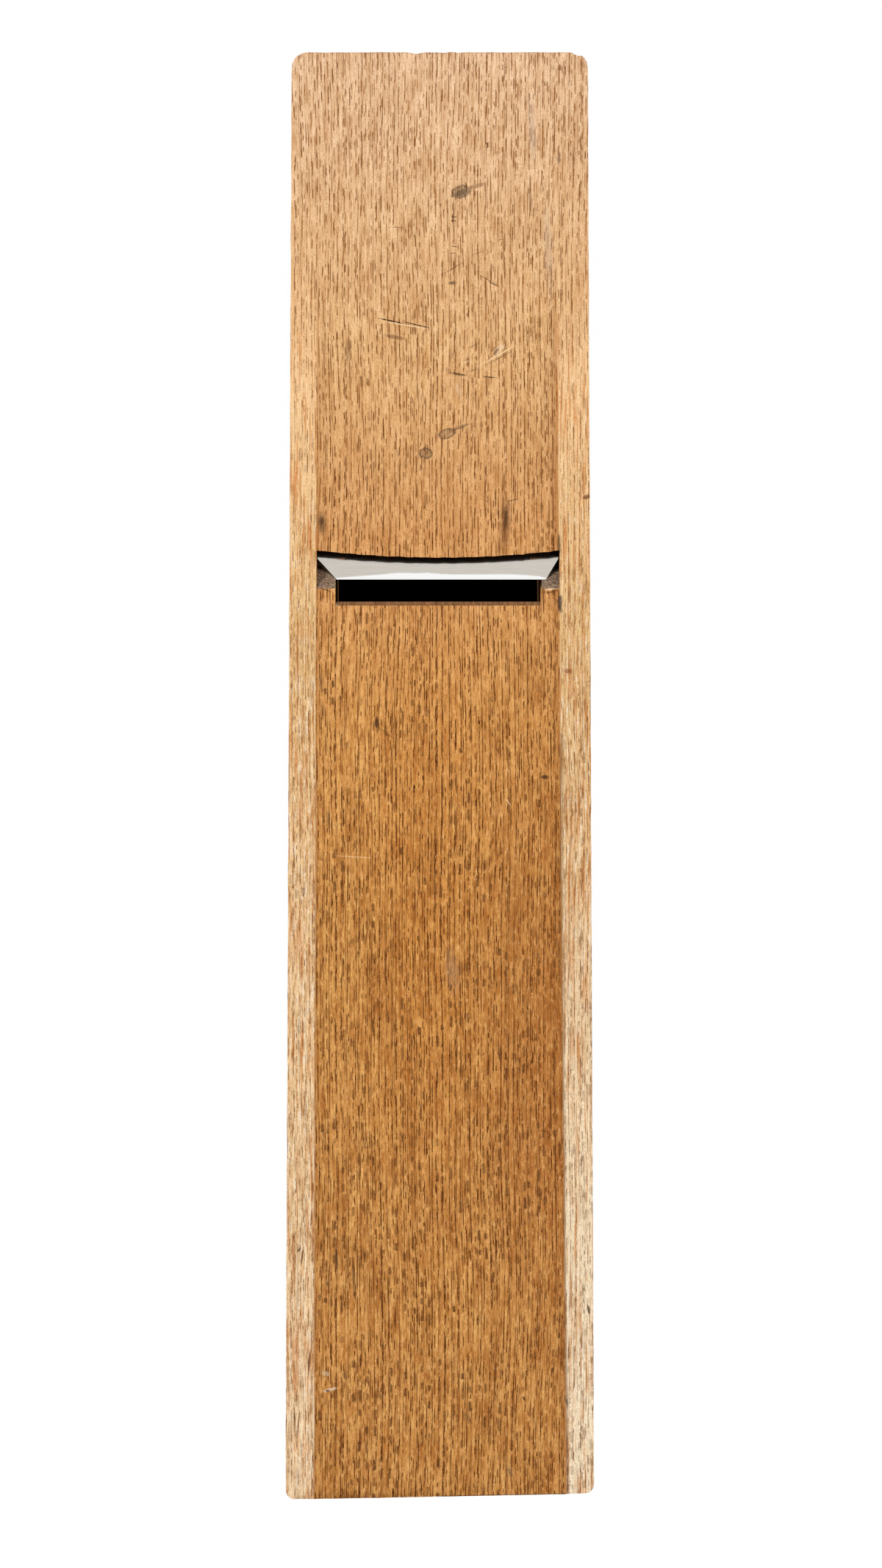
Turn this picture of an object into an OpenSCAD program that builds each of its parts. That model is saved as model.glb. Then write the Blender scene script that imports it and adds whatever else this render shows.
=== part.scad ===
// Japanese smoothing plane with a long oak block, seen in use with its sole down.
// The origin is the middle of the sole. +X is the way the plane is pulled, +Z is up.
// The blade leans back towards the head end, which is at -X.

/* [Block] */
// Length of the block along the sole
block_l = 394; // [340:1:440]
// Width of the block at its head end
head_w = 80.8; // [79:0.2:92]
// Width of the block at its tail end
tail_w = 84.2; // [79:0.2:92]
// Height of the block
block_h = 38; // [34:0.5:44]
// How far the tail end is sawn out of square across the width
tail_skew = 1.6; // [0:0.1:3]
// Radius of the two upright corners at the head end
head_corner_r = 4.5; // [1:0.5:8]
// Radius of the two upright corners at the tail end
tail_corner_r = 2.6; // [1:0.2:8]
// Bevel along the two long top edges
top_bevel = 2.6; // [0.5:0.1:4]
// Bevel across the top edge of the head end, where a hammer strikes
head_bevel = 5; // [1:0.5:8]
// Bevel across the top edge of the tail end
tail_bevel = 3; // [1:0.5:8]
// Small bevel across the two ends of the sole
sole_bevel = 0.4; // [0.2:0.1:1.5]

/* [Sole relief] */
// Width of the flat middle of the sole, between the two planed-down side strips
flat_w = 67; // [60:0.5:72]
// Distance from the head end to where the side strips begin
relief_start = 78; // [40:1:140]
// Depth of the side strips at the tail, where they meet the flat middle
relief_step = 0.7; // [0.2:0.1:1.5]
// Outward slope of the side strips, in degrees
relief_slope = 3; // [0.5:0.1:5]

/* [Mouth] */
// Distance from the head end to the middle of the mouth's rear edge
mouth_from_head = 137.6; // [125:0.1:160]
// Length of the mouth along the sole, from its rear edge to its front wall
mouth_l = 11.8; // [10.5:0.1:15]
// Width of the throat between the two cheeks
throat_w = 55.8; // [50:0.2:60]
// How far the mouth, throat and blade sit to the left of the block's middle
mouth_shift = 0.5; // [-1:0.1:1]
// Width of the bevel worn on the front lip of the mouth
lip_w = 1.1; // [0.2:0.1:2]
// Height of the bevel worn on the front lip of the mouth
lip_h = 0.9; // [0.2:0.1:2]

/* [Throat] */
// Slope of the bed that the blade lies on, in degrees
bed_angle = 38.7; // [37:0.1:43]
// How much the bed crowns across the blade's width
bed_crown = 1.2; // [0.4:0.1:1.6]
// Height of the steep foot of the throat's front wall
foot_h = 8; // [5:0.5:12]
// Slope of that steep foot, in degrees
foot_angle = 80; // [72:1:88]
// Slope of the front wall above its foot, in degrees
front_angle = 62; // [50:1:75]

/* [Blade] */
// Width of the blade
blade_w = 65.6; // [63:0.1:68]
// Width of the blade across its head
blade_head_w = 61; // [56:0.5:63]
// Length of the blade from its cutting edge to its head
blade_l = 100; // [85:1:110]
// Thickness of the blade at the cutting edge, before the bevel is ground
blade_edge_t = 5.1; // [4.5:0.1:5.6]
// Thickness of the blade at its head
blade_head_t = 8; // [7:0.1:9]
// Angle of the ground bevel, in degrees
bevel_angle = 28; // [25:0.5:32]
// Height of the cutting edge above the sole when the blade is tapped back for storage
blade_rest_h = 2; // [1:0.1:3]
// Width clipped off the cutting edge at the left corner
left_ear_w = 5.2; // [2:0.1:7]
// Width clipped off the cutting edge at the right corner
right_ear_w = 3.4; // [2:0.1:7]
// Length of both clipped corners along the blade
ear_l = 5.2; // [3:0.1:8]
// Radius of the blade's two shoulders
shoulder_r = 9; // [3:0.5:14]
// Bevel hammered round the rim of the blade's head
head_rim = 1.2; // [0.5:0.1:2]

/* [Blade lamination] */
// Thickness of the hard steel welded to the blade's flat face
steel_t = 0.9; // [0.7:0.05:1.4]
// Length of the hard steel from the cutting edge
steel_l = 62; // [50:1:75]
// Depth of the hollow ground into the flat face
hollow_depth = 0.35; // [0.2:0.05:0.5]
// Width of the hollow
hollow_w = 54; // [45:0.5:58]
// Length of the hollow
hollow_l = 50; // [38:1:56]
// Width of the flat land left between the hollow and the cutting edge
land_l = 5; // [3:0.5:8]

/* [Blade fit] */
// Gap between the blade and the crown of its bed
bed_gap = 0.12; // [0.1:0.01:0.2]
// Gap between the blade's flat face and the grooves when it is tapped back
groove_gap = 0.2; // [0.18:0.01:0.3]
// Gap between each side of the blade and the bottom of its groove
side_gap = 0.25; // [0.15:0.05:0.5]

/* [Chip breaker] */
// Width of the chip breaker
breaker_w = 54.6; // [46:0.1:55]
// Length of the chip breaker
breaker_l = 78; // [66:1:86]
// Thickness of the chip breaker
breaker_t = 3; // [2.5:0.1:3.6]
// How far the chip breaker's edge sits back from the cutting edge
breaker_back = 1.5; // [0.8:0.1:3]
// Angle of the long bevel at its front, in degrees
breaker_bevel = 26; // [22:1:35]
// Height of the short steep bevel at its edge
nose_h = 0.6; // [0.3:0.05:0.9]
// Angle of the short steep bevel at its edge, in degrees
nose_angle = 60; // [50:1:70]
// Size of its two bent corners
corner_l = 12; // [8:0.5:16]
// How far its two corners are bent down onto the blade, in degrees
corner_bend = 22; // [15:1:28]
// Gap between the bent corners and the blade
corner_gap = 0.1; // [0.05:0.01:0.2]
// Gap between the chip breaker's edge and the blade
nose_gap = 0.05; // [0.03:0.01:0.1]
// Width of the chip breaker across its head
breaker_head_w = 50; // [44:0.5:54]
// Thickness of the hard steel welded under the chip breaker's front
breaker_steel_t = 0.8; // [0.5:0.05:1.1]
// Length of that hard steel
breaker_steel_l = 20; // [12:1:30]

/* [Pin] */
// Diameter of the pin that holds the chip breaker down
pin_d = 6; // [4.5:0.1:7]
// Distance of the pin up the bed from the mouth
pin_up = 24; // [21:0.5:28]
// Gap between the pin and the chip breaker when the blade is tapped back
pin_gap = 0.35; // [0.32:0.01:0.5]
// Radial clearance of the pin in its two holes
pin_fit = 0.02; // [0.01:0.01:0.05]
// How far each end of the pin is driven below the side of the block
pin_recess = 1; // [0:0.1:3]

/* [Hidden] */

// Segments of one rounded corner, of one long shallow bow, and of the round pin
corner_steps = 5;
bow_steps = 16;
round_arc = 96;
// Reach of a cutting shape past the surface that it cuts
past = 4;

mouth_x = mouth_from_head - block_l / 2;
front_x = mouth_x + mouth_l;

// Bed coordinates are s, up the bed from the mouth, and t, square to it
wedge_angle = atan((blade_head_t - blade_edge_t) / blade_l);
edge_t = bed_gap + blade_edge_t;
edge_s = (blade_rest_h - edge_t * cos(bed_angle)) / sin(bed_angle);
slot_w = blade_w + 2 * side_gap;
// Depth below the crown line that is sure to be inside the bed
under_t = bed_crown + 1;
// Length along the bed from the mouth to above the top of the block
bed_run = (block_h + past) / sin(bed_angle);

// The chip breaker leans away from the blade, because its bent corners hold its head up
corner_reach = corner_l / sqrt(2);
corner_drop = corner_reach * sin(corner_bend) - breaker_t * (1 - cos(corner_bend));
corner_in = (corner_reach * cos(corner_bend) - breaker_t * sin(corner_bend)) / sqrt(2);
corner_at = breaker_l - corner_l / 2 + corner_in;
breaker_lean = asin((corner_drop + corner_gap) / corner_at);

// Centre of the pin, above the chip breaker's upper face
nose_s = edge_s + breaker_back * cos(wedge_angle) - nose_gap * sin(wedge_angle);
nose_t = edge_t + breaker_back * sin(wedge_angle) + nose_gap * cos(wedge_angle);
top_slope = wedge_angle + breaker_lean;
pin_t = nose_t + (pin_up - nose_s) * tan(top_slope)
    + (breaker_t + pin_gap + pin_d / 2) / cos(top_slope);
pin_x = mouth_x - pin_up * cos(bed_angle) + pin_t * sin(bed_angle);
pin_z = pin_up * sin(bed_angle) + pin_t * cos(bed_angle);
// Width of the block beside the pin
pin_block_w = head_w + (tail_w - head_w) * (pin_x + block_l / 2) / block_l;

// Points of an arc about a centre, in equal steps
function arc(centre, r, from, to) =
    [for (i = [0:corner_steps])
        let (a = from + (to - from) * i / corner_steps)
        [centre[0] + r * cos(a), centre[1] + r * sin(a)]];

// Points of a shallow arc that stands rise high over a chord, drawn from one end to the other
// and carried on past both ends of the chord
function bow(chord, rise, carry) =
    let (r = (pow(chord / 2, 2) + pow(rise, 2)) / (2 * rise), reach = asin((chord / 2 + carry) / r))
    [for (i = [0:bow_steps])
        let (a = reach * (2 * i / bow_steps - 1))
        [r * sin(a), r * (cos(a) - 1)]];

// Places its children in bed coordinates: x is s, z is t, and y points to the right
module on_bed() {
    translate([mouth_x, mouth_shift, 0])
        rotate([0, -bed_angle, 180])
            children();
}

// Places its children on the blade's flat face, from the middle of the cutting edge
module on_face() {
    on_bed()
        translate([edge_s, 0, edge_t])
            rotate([0, -wedge_angle, 0])
                children();
}

// Places its children on the chip breaker's lower face, from the middle of its edge
module on_breaker() {
    on_face()
        translate([breaker_back, 0, nose_gap])
            rotate([0, -breaker_lean, 0])
                children();
}

// A flat shape drawn in x and z, stretched to a width about the middle
module across(width) {
    rotate([90, 0, 0])
        linear_extrude(width, center = true)
            children();
}

// Outline of the block from above: tapered, with rounded corners and a skew tail
module block_outline() {
    tail_x = block_l / 2;
    head_x = -block_l / 2;
    polygon(concat(
        arc([tail_x - tail_skew - tail_corner_r, tail_corner_r - tail_w / 2], tail_corner_r, -90, 0),
        arc([tail_x - tail_corner_r, tail_w / 2 - tail_corner_r], tail_corner_r, 0, 90),
        arc([head_x + head_corner_r, head_w / 2 - head_corner_r], head_corner_r, 90, 180),
        arc([head_x + head_corner_r, head_corner_r - head_w / 2], head_corner_r, 180, 270)
    ));
}

// A square bar turned on its edge, which bevels the straight edge from p to q at height z
module edge_bevel(p, q, z, size) {
    run = q - p;
    translate([(p[0] + q[0]) / 2, (p[1] + q[1]) / 2, z])
        rotate([0, 0, atan2(run[1], run[0])])
            rotate([45, 0, 0])
                cube([norm(run) + 2 * past, size * sqrt(2), size * sqrt(2)], center = true);
}

// Bevels on the top edges and across the ends of the sole
module block_bevels() {
    tail_x = block_l / 2;
    head_x = -block_l / 2;
    head_left = [head_x, head_w / 2];
    head_right = [head_x, -head_w / 2];
    tail_left = [tail_x, tail_w / 2];
    tail_right = [tail_x - tail_skew, -tail_w / 2];
    edge_bevel(head_left, tail_left, block_h, top_bevel);
    edge_bevel(head_right, tail_right, block_h, top_bevel);
    edge_bevel(head_left, head_right, block_h, head_bevel);
    edge_bevel(tail_left, tail_right, block_h, tail_bevel);
    edge_bevel(head_left, head_right, 0, sole_bevel);
    edge_bevel(tail_left, tail_right, 0, sole_bevel);
}

// The two side strips of the sole, planed lower from the head towards the tail
module sole_relief() {
    start_x = relief_start - block_l / 2;
    strip_w = head_w / 2 - flat_w / 2;
    edge_depth = strip_w * tan(relief_slope);
    fall = atan((relief_step + edge_depth) / (block_l / 2 - start_x));
    for (side = [-1, 1])
        translate([start_x, side * head_w / 2, 0])
            rotate([side * relief_slope, -fall, 0])
                translate([0, side > 0 ? -strip_w : -past, -past])
                    cube([block_l, strip_w + past, past]);
}

// The crowned bed and the two tapered grooves, cut as one slot as wide as the blade
module blade_slot() {
    low_s = -bed_run;
    top_at_mouth = edge_t + groove_gap;
    on_bed()
        difference() {
            across(slot_w)
                polygon([
                    [low_s, -under_t],
                    [2 * bed_run, -under_t],
                    [2 * bed_run, top_at_mouth + (2 * bed_run - edge_s) * tan(wedge_angle)],
                    [low_s, top_at_mouth + (low_s - edge_s) * tan(wedge_angle)]
                ]);
            crown(0);
        }
}

// A flat shape drawn in y and z, stretched along x about the origin
module along(length) {
    rotate([90, 0, 90])
        linear_extrude(length, center = true)
            children();
}

// Everything below the bowed surface of the bed, raised by lift, all the way up the bed
module crown(lift) {
    deep = 4 * under_t;
    translate([0, 0, lift])
        along(4 * bed_run + 2 * blade_l)
            polygon(concat(
                bow(blade_w, bed_crown, past),
                [[blade_w, -deep], [-blade_w, -deep]]
            ));
}

// The throat in front of the blade, with its steep foot, front wall and worn lip
module throat() {
    foot_x = front_x + foot_h / tan(foot_angle);
    lip_x = front_x + lip_h / tan(foot_angle);
    top_z = block_h + past;
    wall_x = foot_x + (top_z - foot_h) / tan(front_angle);
    rear_x = mouth_x + mouth_l / 3;
    translate([0, mouth_shift, 0])
        across(throat_w)
            polygon([
                [rear_x, -lip_h],
                [rear_x - (top_z + lip_h) / tan(bed_angle), top_z],
                [wall_x, top_z],
                [foot_x, foot_h],
                [lip_x, lip_h],
                [lip_x + lip_w, 0],
                [lip_x + 2 * lip_w, -lip_h]
            ]);
}

// The oak block
module block() {
    color("#bd8a4e")
        difference() {
            linear_extrude(block_h)
                block_outline();
            block_bevels();
            sole_relief();
            blade_slot();
            throat();
            pin_bar(2 * tail_w, pin_d / 2 + pin_fit);
        }
}

// A round bar across the throat at the pin's place
module pin_bar(length, r) {
    translate([pin_x, 0, pin_z])
        rotate([90, 0, 0])
            cylinder(h = length, r = r, center = true, $fn = round_arc);
}

// The steel pin driven through both cheeks
module pin() {
    color("#6f6a64")
        pin_bar(pin_block_w - 2 * pin_recess, pin_d / 2);
}

// Outline of the blade seen square to the bed, with clipped ears and round shoulders
module blade_outline() {
    head_s = edge_s + blade_l * cos(wedge_angle);
    ear_s = edge_s + ear_l;
    half = blade_w / 2;
    half_head = blade_head_w / 2;
    polygon(concat(
        [
            [edge_s - ear_l, 2 * left_ear_w - half],
            [edge_s - ear_l, half - 2 * right_ear_w],
            [ear_s, half],
            [edge_s + blade_l / 2, half]
        ],
        arc([head_s - shoulder_r, half_head - shoulder_r], shoulder_r, 80, 5),
        arc([head_s - shoulder_r, shoulder_r - half_head], shoulder_r, -5, -80),
        [
            [edge_s + blade_l / 2, -half],
            [ear_s, -half]
        ]
    ));
}

// The whole blade: a wedge with its bevel below, hollow underneath to fit the crowned bed
module blade_solid() {
    head_s = edge_s + blade_l * cos(wedge_angle);
    head_t = edge_t + blade_l * sin(wedge_angle);
    bevel_s = edge_s + (edge_t + under_t) / tan(bevel_angle - wedge_angle);
    on_bed()
        difference() {
            intersection() {
                across(blade_w)
                    polygon([
                        [edge_s, edge_t],
                        [head_s - head_rim, head_t - head_rim * tan(wedge_angle)],
                        [head_s, head_t - head_rim],
                        [head_s, -under_t],
                        [bevel_s, -under_t]
                    ]);
                translate([0, 0, -under_t])
                    linear_extrude(head_t + 2 * under_t)
                        blade_outline();
            }
            crown(bed_gap);
        }
}

// The slab of hard steel under the blade's flat face
module steel_slab() {
    on_face()
        translate([-past, -blade_w, -steel_t])
            cube([steel_l + past, 2 * blade_w, steel_t + past]);
}

// The shallow dish ground into the flat face, deepest at its middle
module face_hollow() {
    on_face()
        translate([land_l + hollow_l / 2, 0, -hollow_depth])
            intersection() {
                along(hollow_l)
                    dish_side(hollow_w);
                across(hollow_w)
                    dish_side(hollow_l);
            }
}

// Side view of the dish: a shallow arc, open above
module dish_side(chord) {
    dish = [for (p = bow(chord, hollow_depth, 0)) [p[0], -p[1]]];
    polygon(concat(dish, [[chord / 2, 2 * hollow_depth], [-chord / 2, 2 * hollow_depth]]));
}

// The soft iron body of the blade
module blade_iron() {
    color("#5a534c")
        difference() {
            blade_solid();
            steel_slab();
        }
}

// The hard steel that makes the cutting edge
module blade_steel() {
    color("#d9dadb")
        difference() {
            intersection() {
                blade_solid();
                steel_slab();
            }
            face_hollow();
        }
}

// Side view of the chip breaker: a plate with a long bevel and a steep nose
module breaker_side() {
    nose_x = nose_h / tan(nose_angle);
    polygon([
        [0, 0],
        [breaker_l, 0],
        [breaker_l, breaker_t],
        [nose_x + (breaker_t - nose_h) / tan(breaker_bevel), breaker_t],
        [nose_x, nose_h]
    ]);
}

// Outline of the chip breaker seen square to its face, without its two bent corners
module breaker_outline() {
    half = breaker_w / 2;
    half_head = breaker_head_w / 2;
    bend_x = breaker_l - corner_l;
    polygon([
        [0, -half],
        [bend_x, -half_head],
        [breaker_l, corner_l - half_head],
        [breaker_l, half_head - corner_l],
        [bend_x, half_head],
        [0, half]
    ]);
}

// One corner of the chip breaker, folded down about its slanting bend line
module bent_corner(side) {
    half_head = breaker_head_w / 2;
    translate([breaker_l - corner_l, side * half_head, breaker_t])
        rotate(a = -side * corner_bend, v = [1, -side, 0])
            translate([0, 0, -breaker_t])
                linear_extrude(breaker_t)
                    polygon([
                        [0, 0],
                        [corner_l, -side * corner_l],
                        [corner_l, 0]
                    ]);
}

// The slab of hard steel under the chip breaker's front
module breaker_slab() {
    translate([-past, -breaker_w, -past])
        cube([breaker_steel_l + past, 2 * breaker_w, breaker_steel_t + past]);
}

// The flat plate of the chip breaker, before it is parted into iron and steel
module breaker_plate() {
    intersection() {
        across(breaker_w)
            breaker_side();
        linear_extrude(breaker_t)
            breaker_outline();
    }
}

// The soft iron body of the chip breaker
module chip_breaker_iron() {
    color("#6a625a")
        on_breaker() {
            difference() {
                breaker_plate();
                breaker_slab();
            }
            bent_corner(-1);
            bent_corner(1);
        }
}

// The hard steel that makes the chip breaker's edge
module chip_breaker_steel() {
    color("#cfd0d2")
        on_breaker()
            intersection() {
                breaker_plate();
                breaker_slab();
            }
}

block();
pin();
blade_iron();
blade_steel();
chip_breaker_iron();
chip_breaker_steel();
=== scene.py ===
import math

import bmesh
import bpy
import numpy as np
from mathutils import Matrix, Vector


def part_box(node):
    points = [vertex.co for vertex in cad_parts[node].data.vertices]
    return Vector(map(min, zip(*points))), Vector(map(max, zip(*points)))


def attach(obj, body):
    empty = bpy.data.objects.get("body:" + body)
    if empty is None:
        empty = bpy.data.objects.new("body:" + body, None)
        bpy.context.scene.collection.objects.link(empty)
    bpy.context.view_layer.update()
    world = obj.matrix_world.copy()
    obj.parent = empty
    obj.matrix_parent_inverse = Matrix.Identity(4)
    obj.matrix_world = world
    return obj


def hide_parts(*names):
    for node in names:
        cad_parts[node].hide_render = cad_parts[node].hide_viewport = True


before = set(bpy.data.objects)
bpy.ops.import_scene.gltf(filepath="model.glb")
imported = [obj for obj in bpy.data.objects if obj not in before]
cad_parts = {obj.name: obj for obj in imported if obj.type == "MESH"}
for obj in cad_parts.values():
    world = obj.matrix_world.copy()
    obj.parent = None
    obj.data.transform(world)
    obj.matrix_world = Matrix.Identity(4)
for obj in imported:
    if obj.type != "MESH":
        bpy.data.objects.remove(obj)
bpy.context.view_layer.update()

# Where the photograph shows the sole: its middle in pixels, and its scale.
photo = {"middleX": 598.3, "middleY": 1055.5, "pxPerMetre": 5000.0, "width": 1200, "height": 2133}


# The place on the sole, in metres, that a pixel of the photograph shows.
def atPixel(px, py):
    return ((py - photo["middleY"]) / photo["pxPerMetre"], (photo["middleX"] - px) / photo["pxPerMetre"])


# A colour written as sRGB hex, as linear values for a shader.
def colour(code, alpha=1.0):
    channels = [int(code[i:i + 2], 16) / 255 for i in (1, 3, 5)]
    linear = [c / 12.92 if c <= 0.04045 else ((c + 0.055) / 1.055) ** 2.4 for c in channels]
    return (*linear, alpha)


# Adds a shader node. Its inputs are given by name or number, as values or as sockets to link.
def addNode(tree, kind, inputs=None, **settings):
    node = tree.nodes.new(kind)
    for name, value in settings.items():
        setattr(node, name, value)
    for key, value in (inputs or {}).items():
        if isinstance(value, bpy.types.NodeSocket):
            tree.links.new(value, node.inputs[key])
        else:
            node.inputs[key].default_value = value
    return node


def maths(tree, operation, a, b=0.0, clamp=False):
    return addNode(tree, "ShaderNodeMath", {0: a, 1: b}, operation=operation, use_clamp=clamp).outputs[0]


# A value that runs from 0 at the input's low to 1 at its high, smoothly.
def smoothStep(tree, value, low, high, top=1.0, start=0.0):
    inputs = {0: value, 1: low, 2: high, 3: start, 4: start + top}
    return addNode(tree, "ShaderNodeMapRange", inputs, interpolation_type="SMOOTHSTEP").outputs[0]


def mixColour(tree, amount, a, b, blend="MIX"):
    node = addNode(tree, "ShaderNodeMix", data_type="RGBA", blend_type=blend)
    for socket, value in ((0, amount), (6, a), (7, b)):
        if isinstance(value, bpy.types.NodeSocket):
            tree.links.new(value, node.inputs[socket])
        else:
            node.inputs[socket].default_value = value
    return node.outputs[2]


# Object coordinates are metres in the frame of the part. A pattern's cell is given in metres.
def stretched(tree, place, cell):
    scale = tuple(1 / size for size in cell)
    return addNode(tree, "ShaderNodeMapping", {0: place, 3: scale}).outputs[0]


def noise(tree, place, cell, detail=3.0, roughness=0.55):
    inputs = {"Vector": stretched(tree, place, cell), "Scale": 1.0, "Detail": detail, "Roughness": roughness}
    return addNode(tree, "ShaderNodeTexNoise", inputs).outputs[0]


def ramp(tree, value, stops):
    node = addNode(tree, "ShaderNodeValToRGB", {0: value})
    elements = node.color_ramp.elements
    while len(elements) < len(stops):
        elements.new(1.0)
    for element, (place, code) in zip(elements, stops):
        element.position = place
        element.color = colour(code) if isinstance(code, str) else (code, code, code, 1)
    return node.outputs[0]


def newMaterial(name):
    material = bpy.data.materials.new(name)
    material.use_nodes = True
    tree = material.node_tree
    tree.nodes.clear()
    return material, tree


def finishMaterial(tree, inputs, bump=None, strength=0.5, depth=0.0002):
    if bump is not None:
        bumpNode = addNode(tree, "ShaderNodeBump", {"Strength": strength, "Distance": depth, "Height": bump})
        inputs["Normal"] = bumpNode.outputs[0]
    shader = addNode(tree, "ShaderNodeBsdfPrincipled", inputs)
    addNode(tree, "ShaderNodeOutputMaterial", {0: shader.outputs[0]})


oakLook = {
    # The worn sole and the strips beside it that were cut later, from the head end to the tail end.
    "sole": [(0.0, "#f5d3b0"), (0.2, "#f1c793"), (0.33, "#eab47a"), (0.46, "#edb46d"), (0.6, "#e8b067"),
             (0.8, "#e5ad67"), (1.0, "#e2aa65")],
    "strip": [(0.0, "#ffdcad"), (0.2, "#fcd5a3"), (0.4, "#e9c38c"), (0.6, "#f3d0a0"), (0.8, "#f6d9ae"),
              (1.0, "#fadfb9")],
    "stripPale": "#fff2d7",
    "worn": "#d28a3a",
    "shade": "#c9a07c",
    "handled": "#b98853",
    "dark": "#411903",
    "brown": "#6b3c14",
    "grime": "#4f331c",
    "soft": "#a4672f",
    # The brown of the painted shade in the step beside the strips.
    "step": "#b5793f",
    "pale": "#ffd79c",
    # Cells are (along, across, up) in metres. Rays stand up in the wood; pores and rings run along it.
    "paleFleck": (0.0013, 0.0021, 0.006),
    "blots": (0.0046, 0.0021, 0.002),
    "dense": (0.014, 0.0045, 0.02),
    "fuzz": (0.0022, 0.0009, 0.001),
    "dull": "#8f6336",
    "rubbed": "#f0bd7a",
    "blotch": (0.0085, 0.0032, 0.0009),
    "broken": (0.0019, 0.0005, 0.0019),
    "ragged": (0.0009, 0.00026, 0.0009),
    "blot": (0.0015, 0.0008, 0.0015),
    "smudge": (0.009, 0.0019, 0.0012),
    "torn": (0.0055, 0.0007, 0.002),
    "stripLine": (0.018, 0.0006, 0.002),
    "splinter": (0.0035, 0.0014, 0.002),
    "tornDarkAndShade": "#a87c48",
    "liftedAndLit": "#fff3dd",
    "fibre": (0.012, 0.0008, 0.0007),
    "sideLine": (0.045, 0.01, 0.0011),
    "fleck": (0.004, 0.01, 0.0035),
    "throat": "#936846",
    "throatDark": "#60432b",
    # The near-black painted shade in the throat and round the mouth.
    "throatShade": "#120b07",
    "cut": (0.002, 0.0006, 0.004),
    "scuff": (0.0006, 0.0006, 0.0006),
    "chisel": (0.006, 0.004, 0.005),
    "mottle": (0.003, 0.00034, 0.0005),
    "grit": (0.0006, 0.00022, 0.0006),
    "cloud": (0.05, 0.011, 0.005),
    "dirt": (0.02, 0.012, 0.02),
    "sway": (0.10, 0.05, 0.05),
    "swayWidth": 0.0045,
    "length": 0.394,
    # Where the strips begin, to the left and to the right: slope along the block, and distance in metres.
    "leftLine": (0.0029, 0.03363),
    "rightLine": (0.0085, 0.03274),
    "stripBlur": 0.00018,
    "stripStart": -0.15,
    "stripFull": -0.1,
    "soleTop": 0.0035,
}


# The layers of rays, from the longest to the shortest.
rayLayers = [
    {"cell": (0.031, 0.0019, 0.03), "half": 0.042, "share": 0.85, "halo": 0.45, "core": 0.9, "filled": 0.75,
     "deep": 0.6, "atHead": 0.5, "seed": 3.0},
    {"cell": (0.0125, 0.0017, 0.03), "half": 0.058, "share": 0.9, "halo": 0.75, "core": 1.0, "filled": 1.0,
     "deep": 1.0, "atHead": 0.8, "seed": 4.0},
    {"cell": (0.0068, 0.0015, 0.02), "half": 0.072, "share": 0.7, "halo": 0.8, "core": 1.0, "filled": 1.0,
     "deep": 1.0, "atHead": 1.0, "seed": 5.0},
    {"cell": (0.0032, 0.0012, 0.012), "half": 0.09, "share": 0.6, "halo": 0.75, "core": 1.0, "filled": 0.9,
     "deep": 0.6, "atHead": 0.8, "seed": 6.0},
]


# Rays, cut across: dashes in columns along the wood. Each column has its own place and each dash its own
# length and strength. half is half its width, as a part of the column. Gives the core and the halo round it.
def rays(tree, place, cell, half, share, ragged, seed):
    parts = addNode(tree, "ShaderNodeSeparateXYZ", {0: stretched(tree, place, cell)}).outputs
    column = maths(tree, "FLOOR", parts[1])
    layer = maths(tree, "FLOOR", parts[2])
    spot = addNode(tree, "ShaderNodeCombineXYZ", {0: column, 1: layer, 2: seed}).outputs[0]
    own = addNode(tree, "ShaderNodeTexWhiteNoise", {"Vector": spot}, noise_dimensions="3D").outputs["Color"]
    own = addNode(tree, "ShaderNodeSeparateColor", {0: own}).outputs
    across = maths(tree, "SUBTRACT", maths(tree, "FRACT", parts[1]), multiplyAdd(tree, own[0], 0.5, 0.25))
    along = maths(tree, "ADD", parts[0], maths(tree, "MULTIPLY", own[1], 50.0))
    step = maths(tree, "FLOOR", along)
    spot = addNode(tree, "ShaderNodeCombineXYZ", {0: column, 1: layer, 2: step}).outputs[0]
    chance = addNode(tree, "ShaderNodeTexWhiteNoise", {"Vector": spot, "W": seed}, noise_dimensions="4D")
    chance = addNode(tree, "ShaderNodeSeparateColor", {0: chance.outputs["Color"]}).outputs
    reach = multiplyAdd(tree, chance[0], 0.3, 0.19)
    inside = maths(tree, "ABSOLUTE", maths(tree, "SUBTRACT", maths(tree, "FRACT", along), 0.5))
    body = smoothStep(tree, maths(tree, "DIVIDE", inside, reach), 1.0, 0.55)
    width = maths(tree, "DIVIDE", maths(tree, "ABSOLUTE", across), half)
    shape = maths(tree, "ADD", maths(tree, "SUBTRACT", body, width), ragged)
    strength = maths(tree, "MULTIPLY", smoothStep(tree, chance[1], 1 - share, 1.02 - share),
                     multiplyAdd(tree, chance[2], 0.5, 0.5))
    halo = maths(tree, "MULTIPLY", smoothStep(tree, maths(tree, "SUBTRACT", body, width), -1.4, 0.4), body)
    core = smoothStep(tree, shape, 0.0, 0.5)
    return [maths(tree, "MULTIPLY", part, strength) for part in (core, halo)]


def multiplyAdd(tree, value, scale, offset):
    return addNode(tree, "ShaderNodeMath", {0: value, 1: scale, 2: offset}, operation="MULTIPLY_ADD").outputs[0]


# The grain sways a little to either side of the block's length.
def swayed(tree, place):
    look = oakLook
    amount = multiplyAdd(tree, noise(tree, place, look["sway"], 1.0), look["swayWidth"], -look["swayWidth"] / 2)
    shift = addNode(tree, "ShaderNodeCombineXYZ", {1: amount}).outputs[0]
    return addNode(tree, "ShaderNodeVectorMath", {0: place, 1: shift}, operation="ADD").outputs[0]


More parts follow.
